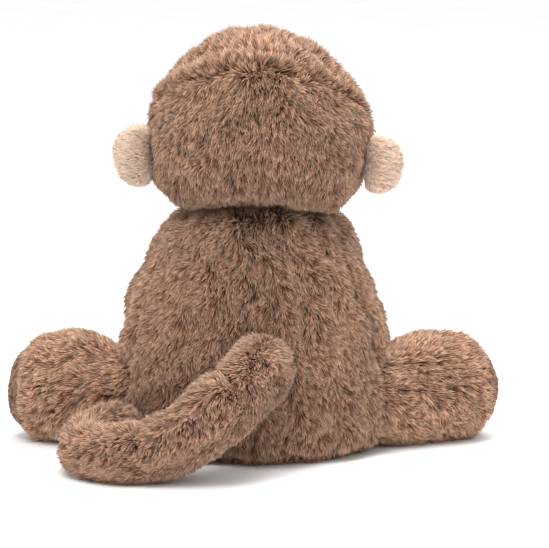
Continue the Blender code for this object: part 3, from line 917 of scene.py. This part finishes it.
@dataclass
class Torso(StuffedForm):
    """The pear-shaped body: two back panels, a belly and a flat seat."""

    depth_ratio: float = 0.8155
    welt_turn: float = math.radians(13)
    crease_turn: float = math.radians(23)
    drift: float = math.radians(9)
    line_width: float = 0.042
    lump: float = 1.1 * MM

    def along_side(self, at: np.ndarray, turn: float) -> np.ndarray:
        """How close each place is to a line that runs up both sides, from shoulder to seat.

        Args:
            at: places on the skin.
            turn: how far behind the side the line lies, as an angle at the body's axis.

        Returns:
            A number from 0 to 1 for each place.
        """
        angle = np.arctan2(at[:, 1] / self.depth_ratio, np.abs(at[:, 0]) + 1e-6)
        # the body is sewn a little askew, so the right-hand line drifts towards the back as it rises
        angle = angle - self.drift * step(0.060, 0.150, at[:, 2]) * (at[:, 0] < 0)
        level = step(0.012, 0.035, at[:, 2]) * step(0.172, 0.150, at[:, 2])
        return bell(angle, turn, self.line_width) * level

    def relief(self, at: np.ndarray) -> np.ndarray:
        """Raises the side welts and draws in the crease behind them."""
        welt, crease = (self.along_side(at, turn) for turn in (self.welt_turn, self.crease_turn))
        return MM * (2.2 * welt - 3.4 * crease)

    def tint(self, at: np.ndarray) -> np.ndarray:
        """Paints light on the welts, where they catch it, shade in the creases behind them, and shade over
        the standing nap of the upper back and low on the back.
        """
        # painted shade over the standing nap in the middle of the upper back
        painted_nape_shade = step(0.100, 0.155, at[:, 2]) * step(0.0, 0.03, at[:, 1])
        painted_nape_shade *= step(0.055, 0.015, np.abs(at[:, 0]))
        welt, crease = (self.along_side(at, turn) for turn in (self.welt_turn, self.crease_turn))
        # painted highlight along the welts and painted shade in the creases behind them
        painted_side_light_and_shade = 0.34 * welt - 0.2 * crease
        # painted shade low on the back
        low = step(0.095, 0.030, at[:, 2])
        return self.shade * (1 + painted_side_light_and_shade - 0.12 * painted_nape_shade - 0.07 * low)

    def comb(self, at: np.ndarray, out: np.ndarray) -> np.ndarray:
        """Down and outwards, standing on the upper back and at the neck."""
        upper = step(0.085, 0.150, at[:, 2]) * step(0.0, 0.03, at[:, 1])
        middle = 1 - step(0.012, 0.050, np.abs(at[:, 0]))
        way = DOWN * (1 - 0.55 * upper * (0.4 + 0.6 * middle))[:, None]
        way[:, 0] += at[:, 0] / 0.1 * (0.5 + 0.2 * upper)
        rim = step(-18 * MM, -5 * MM, past_neck(at)[0]) * step(-0.01, 0.03, at[:, 1])
        return way * (1 - 0.75 * rim)[:, None]

    def bare(self, at: np.ndarray, out: np.ndarray) -> np.ndarray:
        """Adds the opening that the head covers."""
        height, across = past_neck(at)
        return super().bare(at, out) | ((height > -7 * MM) & (across < 24 * MM))


@dataclass
class Head(StuffedForm):
    """The round head: a back and a crown of long pile, and a short pale face."""

    whorl: tuple[float, float, float] = (-0.0055, 0.050, 0.286)
    crown_point: tuple[float, float, float] = (-0.0034, 0.0, 0.250)
    crown_normal: tuple[float, float, float] = (-0.028, -0.584, 0.811)
    lump: float = 1.0 * MM
    hollow: tuple[float, float, float] = (-0.058, 0.0, 0.286)
    sag: tuple[float, float, float] = (0.060, 0.0, 0.195)

    def over_crown(self, at: np.ndarray) -> np.ndarray:
        """Distance of each place from the parting at the crown seam, which wanders a little.

        Args:
            at: places on the skin.

        Returns:
            The distances, positive on the crown.
        """
        wander = 2.2 * MM * Waves(20 * MM, self.seed + 1).value(at)
        return (at - np.array(self.crown_point)) @ np.array(self.crown_normal) + wander

    def relief(self, at: np.ndarray) -> np.ndarray:
        """Draws the crown seam in, lets the crown stand proud above it, and lets the head sag to its left."""
        over = self.over_crown(at)
        back = step(-0.020, 0.010, at[:, 1])
        seam = back * MM * (1.6 * bell(over / MM, 9, 6) - 1.8 * bell(over / MM, 0, 2.6))
        # both reach through the head from front to back, so only x and z count
        hollow = bell(np.linalg.norm((at - self.hollow)[:, ::2], axis=1), 0.0, 0.034)
        sag = bell(np.linalg.norm((at - self.sag)[:, ::2], axis=1), 0.0, 0.018)
        return seam - 3.4 * MM * hollow + 1.6 * MM * sag

    def tint(self, at: np.ndarray) -> np.ndarray:
        """Paints shade low on the head and over the neck, where the head meets the crease."""
        # painted shade on the lower head and on its rim over the neck
        rim = step(22 * MM, 4 * MM, past_neck(at)[0]) * step(-0.01, 0.03, at[:, 1])
        return self.shade * (1 - 0.07 * step(0.265, 0.205, at[:, 2]) - 0.12 * rim)

    def comb(self, at: np.ndarray, out: np.ndarray) -> np.ndarray:
        """Away from the whorl and the parting at the crown seam, and more and more downwards."""
        away = at - np.array(self.whorl)
        distance = np.linalg.norm(away, axis=1)
        way = unit(away) * step(0.0, 0.016, distance)[:, None]
        over = self.over_crown(at)
        parting = np.tanh(over / (5 * MM)) * np.exp(-np.abs(over) / (26 * MM))
        parting *= step(-0.020, 0.015, at[:, 1])
        way = 0.6 * way + 1.1 * parting[:, None] * np.array(self.crown_normal)
        below = step(0.275, 0.225, at[:, 2]) * step(-0.05, 0.0, at[:, 1])
        rim = step(24 * MM, 6 * MM, past_neck(at)[0]) * step(0.0, 0.03, at[:, 1])
        return (way + DOWN * (0.7 * below)[:, None]) * (1 - 0.6 * rim)[:, None]

    def bare(self, at: np.ndarray, out: np.ndarray) -> np.ndarray:
        """Adds the underside that rests on the torso."""
        height, across = past_neck(at)
        return super().bare(at, out) | ((height < 8 * MM) & (across < 26 * MM))


@dataclass
class Muzzle(StuffedForm):
    """The domed muzzle in the middle of the face."""

    def comb(self, at: np.ndarray, out: np.ndarray) -> np.ndarray:
        """Outwards from the nose."""
        return unit(at - np.array(NOSE))


@dataclass
class Ear(StuffedForm):
    """A soft round ear that stands out from the side of the head."""

    side: str = "left"

    def comb(self, at: np.ndarray, out: np.ndarray) -> np.ndarray:
        """Outwards from the ear's root."""
        return unit(at - np.array((SIGNS[self.side] * 0.066, 0.022, 0.222)))


@dataclass
class Arm(StuffedForm):
    """An arm that hangs forward beside the belly."""

    side: str = "left"

    def comb(self, at: np.ndarray, out: np.ndarray) -> np.ndarray:
        """Down the arm."""
        return np.tile(np.array((SIGNS[self.side] * 0.35, -0.2, -0.9)), (len(at), 1))

    def bare(self, at: np.ndarray, out: np.ndarray) -> np.ndarray:
        """Adds the root inside the shoulder."""
        inside = np.linalg.norm(at - np.array(SHOULDERS[self.side]), axis=1) < 13 * MM
        towards_body = (out[:, 0] * SIGNS[self.side] < -0.2) & (at[:, 2] > 0.145)
        return super().bare(at, out) | (inside & towards_body)


@dataclass
class Leg(StuffedForm):
    """A leg splayed over the floor, with a blunt foot and a sewn sole."""

    side: str = "left"

    def ahead(self) -> np.ndarray:
        """The level direction from the hip to the sole."""
        turn = math.radians(LEG_TURNS[self.side])
        return np.array((SIGNS[self.side] * math.cos(turn), -math.sin(turn), 0.0))

    def comb(self, at: np.ndarray, out: np.ndarray) -> np.ndarray:
        """Along the leg and a little downwards."""
        past = step(0.066, 0.078, (at - np.array(HIPS[self.side])) @ self.ahead())[:, None]
        along = self.ahead() * 0.85 + DOWN * 0.45
        return along * (1 - past) + DOWN * 0.8 * past

    def bare(self, at: np.ndarray, out: np.ndarray) -> np.ndarray:
        """Adds the root inside the hip."""
        distance = (at - np.array(HIPS[self.side])) @ self.ahead()
        return super().bare(at, out) | (distance < -18 * MM)


@dataclass
class Tail(StuffedForm):
    """The long tail that falls to the floor and hooks back."""

    path: tuple[tuple[float, float, float], ...] = (
        (-0.0040, 0.0855, 0.0750),
        (-0.0025, 0.1060, 0.0755),
        (0.0050, 0.1210, 0.0680),
        (0.0190, 0.1300, 0.0560),
        (0.0360, 0.1330, 0.0430),
        (0.0530, 0.1310, 0.0315),
        (0.0710, 0.1290, 0.0240),
        (0.0900, 0.1275, 0.0205),
        (0.1090, 0.1215, 0.0190),
        (0.1210, 0.1090, 0.0185),
        (0.1225, 0.0930, 0.0195),
        (0.1155, 0.0800, 0.0220),
        (0.1045, 0.0735, 0.0245),
    )

    radius: float = 0.02
    top: tuple[float, float, float] = (0.0, 0.42, 0.91)
    # where along the tail the cloth folds or swells, over what length, and by how many millimetres
    folds: tuple[tuple[float, float, float], ...] = (
        (0.034, 0.008, 1.0),
        (0.0495, 0.0042, -5.0),
        (0.066, 0.011, 4.0),
        (0.127, 0.007, -3.0),
    )

    def nearest(self, at: np.ndarray) -> tuple[np.ndarray, np.ndarray, np.ndarray]:
        """The tail's centre line, its direction, and the number of the nearest point on it.

        Args:
            at: places on the skin.

        Returns:
            Points, directions, and a number for each place.
        """
        line = smooth_curve(self.path, 120)
        ahead = unit(np.gradient(line, axis=0))
        blocks = np.array_split(at, max(1, len(at) // 4000))
        number = [((block[:, None] - line[None]) ** 2).sum(2).argmin(1) for block in blocks]
        return line, ahead, np.concatenate(number)

    def relief(self, at: np.ndarray) -> np.ndarray:
        """Pinches the fold under the tail's root and fills the swell below it."""
        line, _, nearest = self.nearest(at)
        steps = np.linalg.norm(np.diff(line, axis=0), axis=1)
        along = np.concatenate(([0.0], np.cumsum(steps)))[nearest]
        above = step(-0.5, 0.8, (at - line[nearest])[:, 2] / self.radius)
        drawn = sum(height * bell(along, place, width) for place, width, height in self.folds)
        return above * drawn * MM

    def comb(self, at: np.ndarray, out: np.ndarray) -> np.ndarray:
        """Along the tail, and away to both sides of the line along its top."""
        line, ahead, nearest = self.nearest(at)
        t = ahead[nearest]
        off = (at - line[nearest]) / self.radius
        top = np.array(self.top)
        facing = unit(top - t * (t @ top)[:, None])
        across = off - facing * dot(off, facing)
        across -= t * dot(across, t)
        return t * 0.42 + across * 0.95

    def bare(self, at: np.ndarray, out: np.ndarray) -> np.ndarray:
        """Adds the root inside the torso."""
        return super().bare(at, out) | (at[:, 1] < 0.0665)


@dataclass
class Neck(StuffedForm):
    """The small soft roll on which the head flops, hidden in the crease."""

    def comb(self, at: np.ndarray, out: np.ndarray) -> np.ndarray:
        """Outwards from the neck's axis."""
        return unit(at - NECK) * 0.4


# ---------------------------------------------------------------- stitched face


@dataclass
class StitchedFace:
    """Satin-stitched nose and a stitched smile on the muzzle, as separate threads."""

    centre: tuple[float, float, float] = (-0.001, -0.064, 0.220)
    half: tuple[float, float, float] = (0.033, 0.023, 0.0225)
    roll: float = math.radians(-2)
    thread: float = 0.62 * MM
    nose_threads: int = 17
    nose_rise: float = math.radians(30)
    mouth_threads: int = 15
    stand: float = 1.9 * MM

    def on_muzzle(self, turn: float, rise: float) -> tuple[Vector, Vector]:
        """A place just off the muzzle, where a thread lies.

        Args:
            turn: angle to the side, in radians.
            rise: angle upwards, in radians.

        Returns:
            The place and the outward normal there.
        """
        level = math.cos(rise)
        way = Vector((math.sin(turn) * level, -math.cos(turn) * level, math.sin(rise)))
        half = Vector(self.half)
        point = Vector(self.centre) + way * half
        normal = Vector((way.x / half.x, way.y / half.y, way.z / half.z)).normalized()
        turned = Matrix.Rotation(self.roll, 3, "Y")
        neck = Vector(NECK)
        return neck + turned @ (point + normal * self.stand - neck), turned @ normal

    def stitch(self, bm: bmesh.types.BMesh, start: Vector, end: Vector, lift: Vector) -> None:
        """Adds one thread as a slim capsule that bows off the cloth.

        Args:
            bm: the mesh that gets it.
            start: where it comes out.
            end: where it goes in.
            lift: the way that its middle bows.
        """
        made = bmesh.ops.create_uvsphere(bm, u_segments=8, v_segments=8, radius=1.0)["verts"]
        along = end - start
        size = (self.thread, self.thread * 0.8, along.length / 2 + self.thread * 0.5)
        bmesh.ops.scale(bm, vec=size, verts=made)
        for v in made:
            bow = 1 - (v.co.z / (along.length / 2 + self.thread)) ** 2
            v.co.y -= bow * self.thread * 0.9
        z = along.normalized()
        y = -(lift - z * lift.dot(z)).normalized()
        x = y.cross(z)
        frame = Matrix((x, y, z)).transposed().to_4x4()
        frame.translation = (start + end) / 2
        bmesh.ops.transform(bm, matrix=frame, verts=made)

    def finish(self, bm: bmesh.types.BMesh, name: str, node: str) -> bpy.types.Object:
        """Closes a stitched piece and lets it move with the head.

        Args:
            bm: its mesh.
            name: its name.
            node: the CAD node that it stands for.

        Returns:
            The piece.
        """
        bmesh.ops.recalc_face_normals(bm, faces=bm.faces[:])
        mesh = bpy.data.meshes.new(name)
        bm.to_mesh(mesh)
        bm.free()
        mesh.shade_smooth()
        piece = new_piece(name, mesh, [THREAD.material()])
        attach(piece, "head")
        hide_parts(node)
        return piece

    def nose(self) -> bpy.types.Object:
        """A small oval of upright satin stitches."""
        bm = bmesh.new()
        for i in range(self.nose_threads):
            share = 2 * i / (self.nose_threads - 1) - 1
            tall = math.sqrt(max(1 - share * share, 0.06))
            low, normal = self.on_muzzle(share * 0.225, self.nose_rise - 0.15 * tall)
            high, _ = self.on_muzzle(share * 0.225, self.nose_rise + 0.17 * tall)
            self.stitch(bm, low, high, normal)
        return self.finish(bm, "nose_satin_stitches", "nose_stitching")

    def mouth(self) -> bpy.types.Object:
        """A shallow smile of split stitches, each starting inside the last."""
        bm = bmesh.new()

        def place(t: float) -> tuple[Vector, Vector]:
            """A point of the smile, for t from -1 to 1."""
            rise = -math.radians(18) - math.radians(14) * math.cos(t * math.pi / 2)
            return self.on_muzzle(t * math.radians(32), rise)

        for i in range(self.mouth_threads):
            start, normal = place(2 * i / self.mouth_threads - 1)
            end, _ = place(min(2 * (i + 1.25) / self.mouth_threads - 1, 1.0))
            self.stitch(bm, start, end, normal)
        return self.finish(bm, "mouth_split_stitches", "mouth_stitching")


# ---------------------------------------------------------------- studio


@dataclass
class Studio:
    """Plain pale floor, soft light all round, and a long lens level with the back."""

    aim: tuple[float, float, float] = (-0.0148, 0.0, 0.1316)
    distance: float = 2.086
    rise: float = 9.0
    lens: float = 180.0
    floor_radius: float = 16.0
    lit: tuple[float, float, float] = (0.0, 0.0, 0.12)

    def floor(self) -> None:
        """A wide round board."""
        bm = bmesh.new()
        bmesh.ops.create_circle(bm, cap_ends=True, segments=96, radius=self.floor_radius)
        mesh = bpy.data.meshes.new("floor")
        bm.to_mesh(mesh)
        bm.free()
        new_piece("floor", mesh, [BoardFinish().material()])

    def camera(self) -> None:
        """The camera behind the monkey, a little above it."""
        rise = math.radians(self.rise)
        camera = bpy.data.cameras.new("camera")
        camera.lens = self.lens
        camera.sensor_width = 36.0
        camera.clip_end = 60.0
        eye = bpy.data.objects.new("camera", camera)
        offset = Vector((0.0, math.cos(rise), math.sin(rise))) * self.distance
        eye.location = Vector(self.aim) + offset
        eye.rotation_euler = (-offset).to_track_quat("-Z", "Y").to_euler()
        bpy.context.scene.collection.objects.link(eye)
        bpy.context.scene.camera = eye

    def lamp(self, name: str, place: tuple[float, float, float], size: float, power: float) -> None:
        """Adds one softbox that faces the object.

        Args:
            name: its name.
            place: where it hangs.
            size: its width and height.
            power: its power in watts.
        """
        light = bpy.data.lights.new(name, "AREA")
        light.size = size
        light.energy = power
        box = bpy.data.objects.new(name, light)
        box.location = place
        ahead = Vector(self.lit) - Vector(place)
        box.rotation_euler = ahead.to_track_quat("-Z", "Y").to_euler()
        bpy.context.scene.collection.objects.link(box)

    def light(self) -> None:
        """A white surround and softboxes above and behind the camera."""
        world = bpy.data.worlds.new("surround")
        world.use_nodes = True
        surround = world.node_tree.nodes["Background"]
        surround.inputs["Color"].default_value = (1.0, 1.0, 1.0, 1.0)
        surround.inputs["Strength"].default_value = 1.0
        bpy.context.scene.world = world
        self.lamp("key_softbox", (0.5, 1.1, 2.2), 1.0, 30.0)
        self.lamp("top_softbox", (-0.5, -0.3, 2.2), 1.2, 30.0)
        bpy.context.scene.view_settings.view_transform = "Standard"

    def build(self) -> None:
        """Sets up floor, light and camera."""
        self.floor()
        self.light()
        self.camera()


# ---------------------------------------------------------------- assembly


FACE_CUT = {
    "length": 3.2 * MM,
    "width": 0.42 * MM,
    "per_cm2": 260.0,
    "lean": 42.0,
    "tuft": 0.4 * MM,
    "contrast": 0.07,
}
EAR_CUT = {"width": 0.5 * MM, "per_cm2": 260.0, "lean": 54.0, "tuft": 0.4 * MM, "contrast": 0.06}
EAR_LENGTHS = {"left": 6.5 * MM, "right": 4.8 * MM}
# painted light and shade on each ear's pile
EAR_PAINTED_LIGHTING = {"left": 0.97, "right": 1.07}


def stuffed_forms() -> list[StuffedForm]:
    """Every stuffed form of the monkey, in the order in which they are made."""
    forms: list[StuffedForm] = [
        Torso(
            "torso_skin",
            "torso",
            {
                "back_left_panel": brown("torso_pile_back_left"),
                "back_right_panel": brown("torso_pile_back_right"),
                "belly_panel": brown("torso_pile_belly", per_cm2=105.0, width=0.7 * MM),
                "seat_panel": brown("torso_pile_seat", length=5 * MM, per_cm2=90.0, width=0.7 * MM),
            },
            ("torso_stuffing", "torso_bean_pouch"),
            seed=11,
            floor=0.0,
            # painted shade: the torso's pile is painted a little darker
            shade=0.97,
            smooth_seam=("back_left_panel", "back_right_panel"),
            bare_balls=tuple((p, 11 * MM) for p in SHOULDERS.values())
            + tuple((p, 29 * MM) for p in HIPS.values())
            + ((TAIL_ROOT, 15 * MM),),
        ),
        Head(
            "head_skin",
            "head",
            {
                "head_back_panel": brown("head_pile_back"),
                "head_crown_panel": brown("head_pile_crown"),
                "face_panel": pale("face_pile", **FACE_CUT),
            },
            ("head_stuffing",),
            seed=12,
            # painted shade: the head's pile is painted darker
            shade=0.94,
        ),
        Muzzle(
            "muzzle_skin",
            "head",
            {"muzzle_panel": pale("muzzle_pile", **FACE_CUT)},
            ("muzzle_stuffing",),
            seed=13,
            voxel=2.2 * MM,
            swell=0.6 * MM,
            lump=0.2 * MM,
            backing=PALE_BACKING,
            slot=Slot.PALE,
        ),
        Neck(
            "neck_roll",
            "neck",
            {"neck_stuffing": brown("neck_pile", length=6 * MM, per_cm2=60.0)},
            (),
            seed=14,
            voxel=3.0 * MM,
            swell=0.5 * MM,
            lump=0.2 * MM,
        ),
        Tail(
            "tail_skin",
            "tail",
            {
                "tail_upper_panel": brown("tail_pile_upper", length=10 * MM, lean=54.0),
                "tail_under_panel": brown("tail_pile_under", length=9.5 * MM, lean=54.0),
            },
            ("tail_stuffing",),
            seed=15,
            voxel=3.5 * MM,
            swell=1.0 * MM,
            lump=0.4 * MM,
        ),
    ]
    for i, side in enumerate(SIGNS):
        ear = {"length": EAR_LENGTHS[side], **EAR_CUT}
        forms.append(
            Ear(
                side + "_ear_skin",
                side + "_ear",
                {
                    side + "_ear_back_panel": pale(side + "_ear_pile_back", **ear),
                    side + "_ear_front_panel": pale(side + "_ear_pile_front", **ear),
                },
                (),
                seed=20 + i,
                voxel=1.8 * MM,
                swell=0.4 * MM,
                groove=0.5 * MM,
                ridge=0.2 * MM,
                lump=0.2 * MM,
                shade=EAR_PAINTED_LIGHTING[side],
                backing=PALE_BACKING,
                slot=Slot.PALE,
                side=side,
            )
        )
        forms.append(
            Arm(
                side + "_arm_skin",
                side + "_arm",
                {
                    side + "_arm_outer_panel": brown(side + "_arm_pile_outer"),
                    side + "_arm_inner_panel": brown(side + "_arm_pile_inner", per_cm2=110.0),
                },
                (side + "_arm_stuffing",),
                seed=30 + i,
                voxel=3.5 * MM,
                swell=1.2 * MM,
                side=side,
            )
        )
        forms.append(
            Leg(
                side + "_leg_skin",
                side + "_leg",
                {
                    side + "_leg_top_panel": brown(side + "_leg_pile_top"),
                    side + "_leg_under_panel": brown(side + "_leg_pile_under"),
                    side + "_sole_panel": Pile(
                        side + "_sole_pile",
                        DARK_PILE,
                        Slot.DARK,
                        length=5 * MM,
                        width=0.5 * MM,
                        per_cm2=165.0,
                        lean=44.0,
                    ),
                },
                (side + "_leg_stuffing", side + "_foot_bean_pouch"),
                seed=40 + i,
                voxel=4.0 * MM,
                # painted light: the legs' pile is painted lighter, where light reaches them more
                shade=1.22,
                side=side,
            )
        )
    return forms


def swell(forms: list[StuffedForm]) -> None:
    """Lets every skin swell under the pressure of its stuffing, all at once.

    Args:
        forms: the shaped forms.
    """
    for form in forms:
        form.loosen()
    for number in range(1, SWELL_FRAMES + 1):
        bpy.context.scene.frame_set(number)
    for form in forms:
        form.settle()
    bpy.context.scene.frame_set(1)


def main() -> None:
    """Builds every piece in order and reports it."""
    logging.basicConfig(level=logging.INFO, format="%(message)s")
    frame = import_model()
    nodes = frame["nodes"]
    forms = stuffed_forms()
    for form in forms:
        form.shape(nodes)
    swell(forms)
    for form in forms:
        form.sew(nodes)
        form.attach()
        LOG.info("%s", form.name)
        form.grow()
    face = StitchedFace()
    LOG.info("%s", face.nose().name)
    LOG.info("%s", face.mouth().name)
    bead, nylon = BeadFinish().material(), NylonFinish().material()
    for side in SIGNS:
        nodes[side + "_eye"].material_slots[0].material = bead
        nodes[side + "_eye_washer"].material_slots[0].material = nylon
    Studio().build()


if __name__ == "__main__":
    main()
